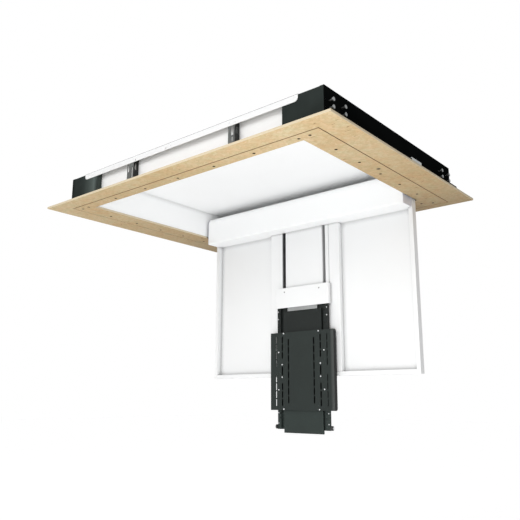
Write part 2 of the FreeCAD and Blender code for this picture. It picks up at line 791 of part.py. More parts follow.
def make_hinge_arms():
    arm = Piece("hinge_arm_right")
    y, z = pivot
    low_x = dim.box_half + 3
    arm.pad("YZ", (low_x, low_x + 5), box_outline((y - 32, dim.flap_front_y), (z - 43, z + 43)))
    arm.fillet(20, arm.edges(y=y - 32, z=z + 43) + arm.edges(y=y - 32, z=z - 43))
    arm.pocket("YZ", (low_x - 1, low_x + 6), disc(y, z, dim.hinge_pin_radius + dim.fit))
    mirrored(arm.body, "hinge_arm_left")


def make_guides():
    low = flap_bottom + dim.frame_bar
    high = flap_top - dim.frame_bar
    rail = Piece("guide_rail_right")
    inner = dim.guide_inner_x
    strip = dim.guide_strip_y
    front = dim.guide_front_y
    back = dim.flap_skin_y
    step = inner + 23
    rail.pad("XY", (low, high), polygon(
        (inner, strip), (step, strip), (step, front), (dim.guide_outer_x, front),
        (dim.guide_outer_x, back), (inner, back), (inner, strip + 4.3), (inner + 4, strip + 4.3),
        (inner + 4, strip + 2), (inner, strip + 2)))
    rail.fillet(3, rail.edges(x=dim.guide_outer_x, y=front, along="z"))
    mirrored(rail.body, "guide_rail_left")
    panel = Piece("guide_panel")
    half = dim.panel_guide_x
    panel.pad("XY", (low, high), polygon(
        (-half, back), (-half, strip), (half, strip), (half, back), (half - 3, back),
        (half - 3, strip + 3), (3 - half, strip + 3), (3 - half, back)))
    for side in (-1, 1):
        panel.fillet(8, panel.edges(x=side * half, y=strip, along="z"))
        panel.fillet(5, panel.edges(x=side * (half - 3), y=strip + 3, along="z"))


def make_racks():
    rack = Piece("rack_right")
    module = dim.lift_gear_module
    x = (dim.guide_inner_x - 7, dim.guide_inner_x)
    root = rack_pitch_y + 2.5
    pitch = math.pi * module
    low = -dim.lift_shaft_drop - 4.5 * pitch
    high = -dim.lift_shaft_drop + 57.5 * pitch
    rack.pad("XY", (low, high), box_outline(x, (root, dim.flap_skin_y)))
    lean = math.tan(math.radians(20))
    half = pitch / 4 - 0.06
    middle = -dim.lift_shaft_drop - 4 * pitch
    tip = half - 1.7 * lean
    foot = half + 2.8 * lean
    first = rack.pad("YZ", x, polygon(
        (root + 0.3, middle - foot), (root + 0.3, middle + foot),
        (rack_pitch_y - 1.7, middle + tip), (rack_pitch_y - 1.7, middle - tip)))
    rack.line_pattern([first], "V_Axis", 62, pitch)
    mirrored(rack.body, "rack_left")


def make_head_box_inside():
    y, z = flap_shaft_at
    wall = dim.box_front_y + sheet
    motor = Piece("flap_gearmotor")
    motor.pad("XY", (z - 38, z + 34), box_outline((-45, 45), (wall, y + 30)))
    motor.fillet(4, motor.edges(y=y + 30, along="z"))
    motor.pad("YZ", (-45, 120), disc(y + 2, z - 64, 27))
    motor.pocket("YZ", (-60, 60), disc(y, z, dim.shaft_radius + dim.fit))
    bearings = Piece("shaft_bearings")
    for low, high in ((dim.box_half - 10, dim.box_half), (-dim.box_half, 10 - dim.box_half)):
        bearings.pad("YZ", (low, high), disc(y, z, 16))
        bearings.pocket("YZ", (low - 1, high + 1), disc(y, z, dim.shaft_radius + dim.fit))
    control = Piece("control_unit")
    start = 358 - dim.box_half
    control.pad("XZ", (wall, wall + 42), box_outline((start, start + 180), (z - 93, z - 23)))
    control.fillet(5, control.edges(y=wall + 42))


# Lift

def make_carriage():
    plate = Piece("carriage_plate")
    y = (dim.column_front_y + sheet, dim.column_front_y + sheet + 4)
    half = dim.column_half - 3
    z = lift_shaft_at[1]
    plate.pad("XZ", y, polygon(
        (-half, z - 68), (-120, z - 68), (-120, z - 22), (-35, z - 22), (-35, z + 28), (35, z + 28),
        (35, z - 22), (120, z - 22), (120, z - 68), (half, z - 68), (half, z + 52), (-half, z + 52)))
    windows = [box_outline((middle - 6, middle + 6), (z - 21, z + 21))
               for middle in (rack_middle, -rack_middle)]
    plate.pocket("XZ", y, *windows)
    inside = dim.cover_front_y + sheet
    plate.pad("XZ", (inside, y[0] + 1), *[disc(side * 139, z + 33, 6) for side in (-1, 1)])
    plate.pocket("XZ", (inside, y[1]), *[disc(side * 139, z + 33, 2.05) for side in (-1, 1)])
    shoes = Piece("guide_shoes")
    inner = dim.panel_guide_x + 0.5
    outer = dim.guide_inner_x - 0.5
    strip = dim.guide_strip_y
    for side in (-1, 1):
        for low, high in ((z + 22, z + 50), (z - 39, z - 20)):
            shoes.pad("XY", (low, high), polygon(*[(side * u, v) for u, v in (
                (inner, y[1]), (outer, y[1]), (outer, strip + 2.3), (outer + 4, strip + 2.3),
                (outer + 4, strip + 4), (inner, strip + 4))]))
    blocks = Piece("bearing_blocks")
    for side in (-1, 1):
        x = beside(side * half, side, -15, 0)
        blocks.pad("XZ", (y[1], strip - 1), box_outline(x, (z - 14, z + 14)))
        blocks.pocket("YZ", (x[0] - 1, x[1] + 1),
                      disc(0, 0, dim.lift_shaft_radius + dim.fit), at=lift_shaft_at)
    gearbox = Piece("worm_gearbox")
    gearbox.pad("XZ", (inside + 1, strip - 1), box_outline((-35, 35), (z - 22, z + 28)))
    gearbox.fillet(3, gearbox.edges(y=inside + 1))
    gearbox.pocket("YZ", (-40, 40), disc(0, 0, dim.lift_shaft_radius + dim.fit), at=lift_shaft_at)


def make_lift_drive():
    shaft = Piece("lift_shaft")
    end = dim.column_half + 3
    shaft.pad("YZ", (-end, end), disc(0, 0, dim.lift_shaft_radius), at=lift_shaft_at)
    pinions = Piece("lift_pinions")
    module = dim.lift_gear_module
    root = (15 - 2.05) / 2.5
    for middle in (rack_middle, -rack_middle):
        low, high = middle - 3, middle + 3
        pinions.pad("YZ", (low, high), disc(0, 0, root * module), at=lift_shaft_at)
        first = pinions.pad("YZ", (low, high), tooth(module, 12, 0.88, root, 15, 0.05), at=lift_shaft_at)
        pinions.turn_pattern(first, 12, 360)
        pinions.pocket("YZ", (low - 1, high + 1), disc(0, 0, dim.lift_shaft_radius + 0.01), at=lift_shaft_at)


def make_cover():
    cover = Piece("sliding_cover")
    half = dim.cover_half
    front = dim.cover_front_y
    back = dim.guide_front_y - 2
    low = -dim.cover_bottom_drop
    high = -dim.cover_top_drop
    t = sheet
    cover.pad("XY", (low, high), polygon(
        (-half, back), (-half, front), (half, front), (half, back), (half - t, back),
        (half - t, front + t), (t - half, front + t), (t - half, back)))
    cover.pad("XY", (high - t, high), box_outline((-half + 1, half - 1), (front + 1, dim.guide_strip_y - 1)))
    cover.fillet(4, cover.edges(x=half, y=front, along="z") + cover.edges(x=-half, y=front, along="z"))
    z = lift_shaft_at[1] + 33
    cover.pocket("XZ", (front, front + t), disc(-139, z, 2.05), disc(139, z, 2.05))
    screws = Piece("cover_screws")
    screws.pad("XZ", (front - 2, front), disc(-139, z, 4), disc(139, z, 4))
    screws.pad("XZ", (front, front + 10), disc(-139, z, 2), disc(139, z, 2))


def make_lift_motor():
    motor = Piece("lift_motor")
    low = -dim.cover_bottom_drop - 24
    high = lift_shaft_at[1] - 22
    front = dim.column_front_y + 0.3
    back = dim.column_back_y - sheet
    motor.pad("XY", (low + 0.3, high), box_outline((-118, 118), (front, back)))
    motor.fillet(3, motor.edges(x=118, y=front, along="z") + motor.edges(x=-118, y=front, along="z"))
    grooves = [box_outline((12 * step - 1.5, 12 * step + 1.5), (front - 1, front + 1.5))
               for step in range(-9, 10)]
    motor.pocket("XY", (low, high + 1), *grooves)


def make_column():
    channel = Piece("column_channel")
    half = dim.column_half
    front = dim.column_front_y
    back = dim.column_back_y
    low = -dim.column_bottom_drop
    high = -dim.column_top_drop
    t = sheet
    lip = half - 30
    channel.pad("XY", (low, high), polygon(
        (-lip, front), (-half, front), (-half, back), (half, back), (half, front), (lip, front),
        (lip, front + t), (half - t, front + t), (half - t, back - t), (t - half, back - t),
        (t - half, front + t), (-lip, front + t)))
    for side in (-1, 1):
        channel.fillet(3, channel.edges(x=side * half, y=front, along="z")
                       + channel.edges(x=side * half, y=back, along="z"))
    lip_levels = (high - 72, high - 151, low + 99, low + 70)
    holes = [disc(side * (half - 24), z, 5) for side in (-1, 1) for z in lip_levels]
    channel.pocket("XZ", (front, front + t), *holes)
    rivet_levels = (high - 56, high - 105, low + 101, low + 37)
    rivet_at = [(side * (half - 9), z) for side in (-1, 1) for z in rivet_levels]
    channel.pocket("XZ", (front, front + t), *[disc(x, z, 2.05) for x, z in rivet_at])
    channel.pocket("YZ", (-half - 1, half + 1), disc(dim.roller_y, -dim.roller_drop, 4 + dim.fit))
    rivets = Piece("column_rivets")
    rivets.pad("XZ", (front - 1.6, front), *[disc(x, z, 3.2) for x, z in rivet_at])
    rivets.pad("XZ", (front, front + 4), *[disc(x, z, 2) for x, z in rivet_at])
    cover = Piece("column_cover")
    wide = half - 51
    top = -dim.cover_bottom_drop - 24
    foot = low - 22
    cover.pad("XY", (foot, top), polygon(
        (-wide, back - t), (-wide, front), (wide, front), (wide, back - t), (wide - t, back - t),
        (wide - t, front + t), (t - wide, front + t), (t - wide, back - t)))
    cover.pad("XY", (foot, foot + t), box_outline((1 - wide, wide - 1), (front + 1, back - t)))
    cover.fillet(3, cover.edges(x=wide, y=front, along="z") + cover.edges(x=-wide, y=front, along="z"))


def make_rollers():
    pins = Piece("roller_pins")
    z = -dim.roller_drop
    half = dim.column_half
    for side in (-1, 1):
        face = side * half
        pins.pad("YZ", beside(face, side, -8, 16), disc(dim.roller_y, z, 4))
        pins.pad("YZ", beside(face, side, 16, 19), disc(dim.roller_y, z, 7))
        pins.pad("YZ", beside(face, side, -sheet - 5, -sheet), hexagon(dim.roller_y, z, 4.9))
    roller = Piece("end_roller_right")
    low = half + 1
    roller.pad("YZ", (low, low + 14), disc(dim.roller_y, z, dim.roller_radius))
    rims = [f"Edge{i}" for i, edge in enumerate(roller.body.Tip.Shape.Edges, start=1) if edge.isClosed()]
    roller.chamfer(1.5, rims)
    roller.pocket("YZ", (low - 1, low + 15), disc(dim.roller_y, z, 4 + dim.fit))
    mirrored(roller.body, "end_roller_left")


def plate_screw_places():
    """Centres of the screws that hold the tv plate."""
    places = []
    tall = dim.plate_height / 2 - 6.5
    for x, z in ((dim.column_half - 64, tall), (dim.column_half - 24, 120), (dim.column_half - 52, 40)):
        for side in (-1, 1):
            for end in (-1, 1):
                places.append((side * x, plate_middle + end * z))
    return places


def make_tv_plate():
    plate = Piece("tv_plate")
    half = dim.plate_half
    front = dim.plate_front_y
    t = dim.plate_thickness
    back = front + dim.plate_flange
    low = -dim.plate_bottom_drop
    high = -dim.plate_top_drop
    plate.pad("XY", (low, high), polygon(
        (-half, back), (-half, front), (half, front), (half, back), (half - t, back),
        (half - t, front + t), (t - half, front + t), (t - half, back)))
    for side in (-1, 1):
        plate.fillet(5, plate.edges(x=side * half, y=front, along="z"))
        plate.fillet(2.5, plate.edges(x=side * (half - t), y=front + t, along="z"))
        plate.fillet(15, plate.edges(x=side * (half - t / 2), y=back, z=high)
                     + plate.edges(x=side * (half - t / 2), y=back, z=low))
    r = dim.slot_radius
    run = dim.slot_length / 2 - r
    mid = plate_middle
    pitch = dim.slot_pitch
    narrow = dim.outer_slot_radius
    outer = [slot(side * 4 * pitch, mid + step * pitch, dim.slot_length / 2 - narrow, narrow)
             for side in (-1, 1) for step in (-4, -3, -2, -1, 1, 2, 3, 4)]
    plate.pocket("XZ", (front, front + t), *outer)
    middle = [slot(side * 3 * pitch, mid + step * pitch, run, r)
              for side in (-1, 1) for step in (-4, -3, -2, 2, 3, 4)]
    middle += [slot(side * 3 * pitch, mid, run + 6, r) for side in (-1, 1)]
    plate.pocket("XZ", (front, front + t), *middle)
    start = plate.pocket("XZ", (front, front + t),
                         *[slot(side * 2 * pitch, mid - 3.5 * 1.04 * pitch, run + 1, r) for side in (-1, 1)])
    plate.line_pattern([start], "V_Axis", 8, 1.04 * pitch)
    places = plate_screw_places()
    plate.pocket("XZ", (front, front + t), *[disc(x, z, 3.05) for x, z in places])
    screws = Piece("plate_screws")
    screws.pad("XZ", (front - 3, front), *[disc(x, z, 4.2) for x, z in places])
    screws.pad("XZ", (front, front + 13), *[disc(x, z, 3) for x, z in places])
    spacers = Piece("plate_spacers")
    spacers.pad("XZ", (front + t, dim.column_front_y), *[disc(x, z, 6) for x, z in places])
    spacers.pocket("XZ", (front + t, front + 14), *[disc(x, z, 3.05) for x, z in places])


def make_housing():
    make_boards()
    make_board_screws()
    make_end_panel("end_panel_right", 1, dim.corner_right)
    make_end_panel("end_panel_left", -1, dim.corner_left)
    make_side_bolts()
    make_side_panel("side_panel_near", -1)
    make_side_panel("side_panel_far", 1)
    make_ceiling_rail("ceiling_rail_near", -1)
    make_ceiling_rail("ceiling_rail_far", 1)
    make_brackets()
    make_bracket_screws()
    make_roof()
    make_liners()
    make_cable_cover()
    make_hinge_plates()
    make_sectors()


def write_pieces():
    doc.recompute()
    faults = []
    for obj in doc.Objects:
        if "Invalid" in obj.State or "Error" in obj.State:
            faults.append(f"{obj.Name} state {obj.State}")
    for obj in pieces:
        shape = obj.Shape
        if shape.isNull() or not shape.isValid() or not shape.Solids:
            faults.append(f"{obj.Label} has no valid solid")
    if faults:
        raise RuntimeError("; ".join(faults))
    os.makedirs("parts", exist_ok=True)
    for obj in pieces:
        obj.Shape.exportStep(f"parts/{obj.Label}.step")
    print(len(pieces), "sub-parts written")


make_housing()
make_flap()
make_head_box()
make_head_box_ends()
make_hinge_arms()
make_guides()
make_racks()
make_head_box_inside()
make_flap_drive()
make_carriage()
make_lift_drive()
make_cover()
make_lift_motor()
make_column()
make_rollers()
make_tv_plate()
write_pieces()
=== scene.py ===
import json
import math

import bpy
from mathutils import Matrix, Vector


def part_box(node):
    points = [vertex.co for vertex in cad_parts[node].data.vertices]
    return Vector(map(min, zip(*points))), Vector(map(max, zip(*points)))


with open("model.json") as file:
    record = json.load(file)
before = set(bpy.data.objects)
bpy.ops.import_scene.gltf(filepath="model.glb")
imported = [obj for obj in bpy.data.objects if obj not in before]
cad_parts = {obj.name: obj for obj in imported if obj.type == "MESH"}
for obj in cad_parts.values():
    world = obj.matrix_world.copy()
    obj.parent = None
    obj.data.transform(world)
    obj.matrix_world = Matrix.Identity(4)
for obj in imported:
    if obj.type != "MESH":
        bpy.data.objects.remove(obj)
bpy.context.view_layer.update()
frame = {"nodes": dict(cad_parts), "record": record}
NODES = frame["nodes"]

# Faces that meet at less than this angle are shaded smooth

SMOOTH_ANGLE = math.radians(32)

# Joint line between the two ring boards, in metres

JOINT_HALF_X = 0.933
JOINT_HALF_Y = 0.6845
JOINT_MIDDLE = 0.0135
JOINT_INSET = 0.0015
JOINT_WIDTH = 0.0034
JOINT_LEFT_END = 0.01

# Shares of a face's normal along an axis

POSITIVE = (0.5, 1.01)
NEGATIVE = (-1.01, -0.5)
NOT_UP = (-1.01, 0.5)
SQUARE = (0.8, 1.01)
BEND = (0.25, 0.8)

# Scales of fine patterns, per metre

GRAIN_SCALE = 900.0
COARSE_GRAIN = 300.0
PEEL_SCALE = 260.0
LINE_SCALE = 500.0
MOTOR_LINE_SCALE = 700.0
PLASTIC_GRAIN = 1500.0

# Clouds: factors of the darker and the lighter shade, and the scale per metre

CLOUD_STOPS = (0.3, 0.7)
CLOUD_SCALE = 3.5
STEEL_CLOUD = (0.9, 1.1, CLOUD_SCALE)
GUIDE_CLOUD = (0.992, 1.008, CLOUD_SCALE)
RAIL_CLOUD = (0.985, 1.01, CLOUD_SCALE)
BRACKET_CLOUD = (0.75, 1.25, 30.0)
PANEL_CLOUD = (0.985, 1.01, 1.8)
METAL_CLOUD = (0.9, 1.05, 9.0)
PLASTIC_CLOUD = (0.95, 1.04, 14.0)

# Gloss: the least and the most that a pattern adds to the roughness

COAT_GLOSS = (-0.05, 0.06)
PEEL_GLOSS = (-0.03, 0.04)
METAL_GLOSS = (-0.08, 0.1)
WOOD_GLOSS = (-0.07, 0.1)

# Bumps: depth in metres and strength

COAT_BUMPS = (0.0002, 0.25)
PEEL_BUMPS = (0.0002, 0.12)
METAL_BUMPS = (0.0001, 0.2)
PLASTIC_BUMPS = (0.0001, 0.3)
WOOD_BUMPS = (0.0004, 0.3)

# Painted shade in inner corners: how dark it gets, and how far in metres it reaches

CORNER_SHADE_SAMPLES = 12
CORNER_SHADE_FULL = 0.35
CORNER_SHADE_END = 0.9
COAT_CORNER_SHADE = (0.45, 0.016)
DARK_CORNER_SHADE = (0.3, 0.012)
WHITE_CORNER_SHADE = (0.74, 0.04)
PANEL_CORNER_SHADE = (0.6, 0.04)
FRAME_CORNER_SHADE = (0.5, 0.03)
WOOD_CORNER_SHADE = (0.1, 0.03)

# Lines of brushed metal run along the axis with the small factor

ALONG_X = (0.03, 1, 1)
ALONG_Z = (1, 1, 0.03)
LINE_TONES = [(0.35, (0.86, 0.86, 0.86)), (0.65, (1, 1, 1))]

# Factors on a finish's colour: painted highlight, painted shade, and the white's spread

# Painted highlight on bends
BEND_HIGHLIGHT_TONE = 2.6
# Painted shade on sides and undersides
SIDE_SHADE_TONE = 0.15
# Painted shade on the guides' lower ends
GUIDE_END_SHADE_TONE = 0.06
# Painted shade on the column's front behind the plate; the column is painted lighter below the
# plate than above it
PLATE_SHADE_TONE = 0.05
COLUMN_LIGHT_AND_SHADE = (1.55, 0.5)
# Painted shade: darker copies of the white for the roof and the rails
ROOF_SHADE_TONE = 0.96
RAIL_SHADE_TONE = 0.935
WHITE_SPREAD = 0.008

# Colours

WHITE = (0.972, 0.980, 0.983)
# Painted shade: a darker copy of the white, for the flap's parts and the rails
SHADED_WHITE = (0.860, 0.869, 0.874)
PLATE_BLACK = (0.0140, 0.0200, 0.0180)
COLUMN_BLACK = (0.0130, 0.0190, 0.0170)
# Painted highlight beside the plate's bend
PLATE_HIGHLIGHT_COLOUR = (0.050, 0.055, 0.053)
DEEP_BLACK = ((0.0040, 0.0046, 0.0046), (0.0062, 0.0070, 0.0068))
GREEN_BLACK = ((0.018, 0.022, 0.021), (0.026, 0.032, 0.030))
# Painted shade along the ceiling rails' top edge
CEILING_SHADE_LINE = (0.10, 0.105, 0.105)
CEILING_EDGE = -0.0036
# Painted highlight on the board edges that face +X and -Y
BOARD_EDGE_HIGHLIGHT = (0.62, 0.525, 0.37)
BOARD_JOINT = (0.31, 0.185, 0.085)

# Painted highlight on the left end panel's corner boxes, with painted shade at the outer face, as
# factors from the outer face inwards. The last one holds on all that lies to the right of them.

PANEL_CLOUD_SCALE = 6.0
PANEL_FACE_X = 0.9612
PANEL_HIGHLIGHT_SPAN = (-0.96, -0.65)
PANEL_HIGHLIGHT_TONES = (
    (0.0, 0.5), (0.1, 1.1), (0.3, 1.25), (0.42, 1.6), (0.55, 2.5), (0.66, 3.6), (0.745, 4.8),
    (0.8, 2.8), (0.9, 2.3), (0.98, 1.2))

# Patterns and colour steps of the wood boards, the steps along X and Y painted light and shade

WOOD_ROUGH = 0.62
WARP_SCALE = 38.0
WARP_REACH = 0.03
FLAKE_SCALE = 75.0
BOARD_CLOUD_SCALE = 4.5
STROKE_SCALE = 60.0
STROKE_STRETCH = (0.35, 1.5, 1.0)
STROKE_TURN = (0, 0, 0.9)
SPECK_SCALE = 230.0
HUE_SCALE = 20.0
FLAKE_COLOURS = [(0.0, (0.515, 0.382, 0.212)), (0.5, (0.555, 0.418, 0.238)),
                 (1.0, (0.595, 0.468, 0.285))]
BOARD_CLOUDS = [(0.3, (0.97, 0.90, 0.82)), (0.7, (1.02, 1.04, 1.06))]
BOARD_STROKES = [(0.27, (0.50, 0.38, 0.26)), (0.33, (1, 1, 1))]
BOARD_SPECKS = [(0.25, (0.50, 0.40, 0.30)), (0.33, (1, 1, 1))]
# Painted light at the near side, painted shade growing towards the far side
BOARD_DEPTH = (-0.75, 0.75)
BOARD_DEPTH_LIGHT_AND_SHADE = [
    (0.0, (1.04, 1.06, 1.09)), (0.5, (0.84, 0.83, 0.81)), (0.7, (0.79, 0.78, 0.76)),
    (0.85, (0.68, 0.67, 0.65)), (1.0, (0.56, 0.55, 0.53))]
# Painted shade on the left and middle, painted highlight towards the right
BOARD_LENGTH = (-1.06, 1.06)
BOARD_LENGTH_LIGHT_AND_SHADE = [
    (0.0, (0.96, 0.96, 0.96)), (0.36, (0.90, 0.88, 0.84)), (0.55, (0.94, 0.92, 0.88)),
    (0.75, (1.08, 1.10, 1.14)), (1.0, (1.05, 1.05, 1.06))]
BOARD_HUES = [(0.35, (1.04, 0.985, 0.95)), (0.65, (0.97, 1.02, 0.99))]

# Camera, fitted to the photo, and what stands round the part

CAMERA_PLACE = Vector((2.357, -2.7645, -1.3625))
CAMERA_TURN = 0.6985
CAMERA_RISE = 0.221
CAMERA_ROLL = -0.0024
FOCAL_PIXELS = 618.5474
IMAGE_WIDTH = 520
SENSOR = 36.0
FLOOR_LEVEL = -2.5
FLOOR_HALF = 30.0
FLOOR_GREY = 0.88
FLOOR_GLOW = 0.5

# The world is lit less from the shade's direction

SHADE_DIRECTION = Vector((0.6, 0.79, 0.12)).normalized()
SHADE_START = 0.0
SHADE_FULL = 0.8
OPEN_LIGHT = 0.89
SHADE_LIGHT = 0.30

# Lamps: place, target, size in metres, power in watts

LAMPS = {
    "KeyBox": ((-0.3, -3.2, 0.55), (-0.3, -0.6, -0.1), (3.2, 1.2), 30),
    "LowBox": ((1.1, -1.7, -1.7), (0.4, -0.5, -0.2), (2.0, 1.4), 14),
    "FrontBox": ((2.1, -3.2, -1.5), (0.2, 0.2, -0.4), (2.4, 1.6), 21),
    "FloorBox": ((0.3, -1.6, -2.45), (0.3, -1.6, 0), (6.0, 6.0), 43),
}


def shade(colour, factor):
    """The colour made lighter or darker."""
    return tuple(min(1.0, channel * factor) for channel in colour)


def grey(tone):
    """A neutral colour."""
    return (tone, tone, tone)


class Graph:
    """A node tree with short ways to add and link nodes."""

    def __init__(self, owner):
        owner.use_nodes = True
        self.tree = owner.node_tree
        self.tree.nodes.clear()

    def feed(self, target, value):
        """Link the value to an input, or set the input where the value is plain."""
        if isinstance(value, bpy.types.NodeSocket):
            self.tree.links.new(value, target)
        else:
            target.default_value = value

    def add(self, kind, inputs, **settings):
        """A new node, with its inputs fed and its settings set."""
        node = self.tree.nodes.new(kind)
        for key, value in settings.items():
            setattr(node, key, value)
        for key, value in inputs.items():
            self.feed(node.inputs[key], value)
        return node

    def maths(self, operation, first, second=0.0):
        """The result of one operation on one or two values."""
        node = self.add("ShaderNodeMath", {0: first, 1: second}, operation=operation)
        return node.outputs[0]

    def seen_or_lit(self, lit, seen):
        """One shader for the light that reaches surfaces, another for what a view shows."""
        path = self.add("ShaderNodeLightPath", {}).outputs
        view = self.maths("MAXIMUM", path["Is Camera Ray"], path["Is Glossy Ray"])
        view = self.maths("MAXIMUM", view, path["Is Transmission Ray"])
        return self.add("ShaderNodeMixShader", {"Fac": view, 1: lit, 2: seen}).outputs[0]


class Surface(Graph):
    """A material with one Principled shader and patterns in the part's own coordinates."""

    def __init__(self, name, rough, metal=0.0, spec=0.5):
        self.material = bpy.data.materials.new(name)
        super().__init__(self.material)
        self.shader = self.add("ShaderNodeBsdfPrincipled", {
            "Roughness": rough, "Metallic": metal, "Specular IOR Level": spec})
        self.add("ShaderNodeOutputMaterial", {"Surface": self.shader.outputs["BSDF"]})
        source = self.add("ShaderNodeTexCoord", {}).outputs
        self.coords = source["Object"]
        self.place = self.add("ShaderNodeSeparateXYZ", {0: self.coords}).outputs
        self.normal = self.add("ShaderNodeSeparateXYZ", {0: source["Normal"]}).outputs

    def stretched(self, scale, rotation=(0, 0, 0)):
        """The part's coordinates, scaled and turned."""
        node = self.add("ShaderNodeMapping", {
            "Vector": self.coords, "Scale": scale, "Rotation": rotation})
        return node.outputs["Vector"]

    def noise(self, scale, detail=2.0, vector=None):
        """A noise pattern from 0 to 1, in the part's coordinates where no others are given."""
        node = self.add("ShaderNodeTexNoise", {
            "Vector": vector or self.coords, "Scale": scale, "Detail": detail, "Roughness": 0.5})
        return node.outputs["Fac"]

    def ramp(self, fac, stops):
        """A colour that follows a value through steps of place and colour."""
        node = self.add("ShaderNodeValToRGB", {"Fac": fac})
        elements = node.color_ramp.elements
        while len(elements) < len(stops):
            elements.new(0.5)
        for element, (place, colour) in zip(elements, stops):
            element.position = place
            element.color = (*colour, 1)
        return node.outputs["Color"]

    def mixed(self, fac, first, second, blend="MIX"):
        """The first colour, with the second one laid on it by a share or a mask."""
        if isinstance(second, tuple):
            second = (*second, 1)
        node = self.add("ShaderNodeMix", {0: fac, 6: first, 7: second},
                        data_type="RGBA", blend_type=blend)
        return node.outputs[2]

    def times(self, body, factor):
        """The colour times another colour or value."""
        return self.mixed(1.0, body, factor, "MULTIPLY")

    def toned(self, mask, body, factor):
        """The colour times a plain factor where the mask is 1."""
        return self.mixed(mask, body, self.times(body, grey(factor)))

    def clouded(self, colour, low, high, scale):
        """The colour, clouded between a darker and a lighter shade of it."""
        shades = (shade(colour, low), shade(colour, high))
        return self.ramp(self.noise(scale), list(zip(CLOUD_STOPS, shades)))

    def mapped(self, value, span, result=(0.0, 1.0)):
        """The value's place in a span, as a value between two results."""
        node = self.add("ShaderNodeMapRange", {
            "Value": value, "From Min": span[0], "From Max": span[1],
            "To Min": result[0], "To Max": result[1]})
        return node.outputs["Result"]

    def within(self, value, low, high):
        """1 where the value lies between two bounds, 0 elsewhere."""
        return self.maths("MULTIPLY", self.maths("GREATER_THAN", value, low),
                          self.maths("LESS_THAN", value, high))

    def facing(self, axis, share):
        """1 on faces whose normal has this share along the axis, 0 on the others."""
        return self.within(self.normal[axis], *share)

    def colour(self, body, corner_shade=None):
        """Set the colour, with painted shade in narrow inner corners where a corner shade is
        given.
        """
        if corner_shade:
            dark, reach = corner_shade
            node = self.add("ShaderNodeAmbientOcclusion", {"Distance": reach},
                            samples=CORNER_SHADE_SAMPLES)
            shadow = self.ramp(node.outputs["AO"],
                               [(CORNER_SHADE_FULL, grey(dark)), (CORNER_SHADE_END, grey(1))])
            body = self.times(body, shadow)
        self.feed(self.shader.inputs["Base Color"], body)

    def gloss(self, pattern, rough, spread):
        """Let the roughness follow a pattern."""
        limits = (rough + spread[0], rough + spread[1])
        self.feed(self.shader.inputs["Roughness"], self.mapped(pattern, (0.0, 1.0), limits))

    def bumps(self, pattern, depth, strength):
        """Set small bumps, and return the finished material."""
        node = self.add("ShaderNodeBump", {
            "Height": pattern, "Distance": depth, "Strength": strength})
        self.feed(self.shader.inputs["Normal"], node.outputs["Normal"])
        return self.material

    def grained(self, rough=None, scale=GRAIN_SCALE):
        """Set the fine bumps of a powder coat, with uneven gloss where a roughness is given."""
        grain = self.noise(scale)
        if rough:
            self.gloss(grain, rough, COAT_GLOSS)
        return self.bumps(grain, *COAT_BUMPS)


# Finishes

def powder_coat(name, colour, rough, spread, spec=0.5, corner_shade=COAT_CORNER_SHADE):
    """Fine textured powder coat with a faint cloudiness, and painted shade in inner corners."""
    surface = Surface(name, rough, spec=spec)
    surface.colour(surface.clouded(colour, 1 - spread, 1 + spread, CLOUD_SCALE), corner_shade)
    return surface.grained(rough)


def dark_steel(name, colour, rough, shade_span=None, highlight_span=None):
    """Black coated steel: painted shade on +X faces and undersides, a painted highlight on bends.

    Over a shade span along Z the front faces are painted black as shade, and the steel is
    painted lighter below the span than above it. A highlight span is a span along X over which
    a painted highlight grows towards the bend.
    """
    surface = Surface(name, rough, spec=0.25)
    body = surface.clouded(colour, *STEEL_CLOUD)
    body = surface.toned(surface.facing("X", BEND), body, BEND_HIGHLIGHT_TONE)
    if highlight_span:
        body = surface.mixed(surface.mapped(surface.place["X"], highlight_span), body, PLATE_HIGHLIGHT_COLOUR)
    body = surface.toned(surface.facing("X", SQUARE), body, SIDE_SHADE_TONE)
    body = surface.toned(surface.facing("Z", NEGATIVE), body, SIDE_SHADE_TONE)
    if shade_span:
        height = surface.place["Z"]
        body = surface.times(body, surface.mapped(height, shade_span, COLUMN_LIGHT_AND_SHADE))
        shaded_front = surface.maths("MULTIPLY", surface.within(height, *shade_span),
                                surface.facing("Y", NEGATIVE))
        body = surface.toned(shaded_front, body, PLATE_SHADE_TONE)
    surface.colour(body, DARK_CORNER_SHADE)
    return surface.grained(rough)


def guide_coat(name, colour, rough):
    """White coat with painted shade on its lower ends."""
    surface = Surface(name, rough)
    body = surface.clouded(colour, *GUIDE_CLOUD)
    body = surface.toned(surface.facing("Z", NEGATIVE), body, GUIDE_END_SHADE_TONE)
    surface.colour(body, COAT_CORNER_SHADE)
    return surface.grained()


def bracket_steel(name, colour, rough):
    """Grey steel bracket with a darker web: painted shade on its faces along X."""
    surface = Surface(name, rough, spec=0.3)
    body = surface.clouded(colour, *BRACKET_CLOUD)
    for share in (POSITIVE, NEGATIVE):
        body = surface.toned(surface.facing("X", share), body, SIDE_SHADE_TONE)
    surface.colour(body, DARK_CORNER_SHADE)
    return surface.grained(scale=COARSE_GRAIN)


def rail_coat(name, colour, rough):
    """White coat whose top edge, by the ceiling, shows a thin grey line of painted shade."""
    surface = Surface(name, rough)
    body = surface.clouded(colour, *RAIL_CLOUD)
    top = surface.maths("GREATER_THAN", surface.place["Z"], CEILING_EDGE)
    shaded_top_edge = surface.maths("MULTIPLY", top, surface.facing("Z", NOT_UP))
    surface.colour(surface.mixed(shaded_top_edge, body, CEILING_SHADE_LINE))
    return surface.grained(rough)


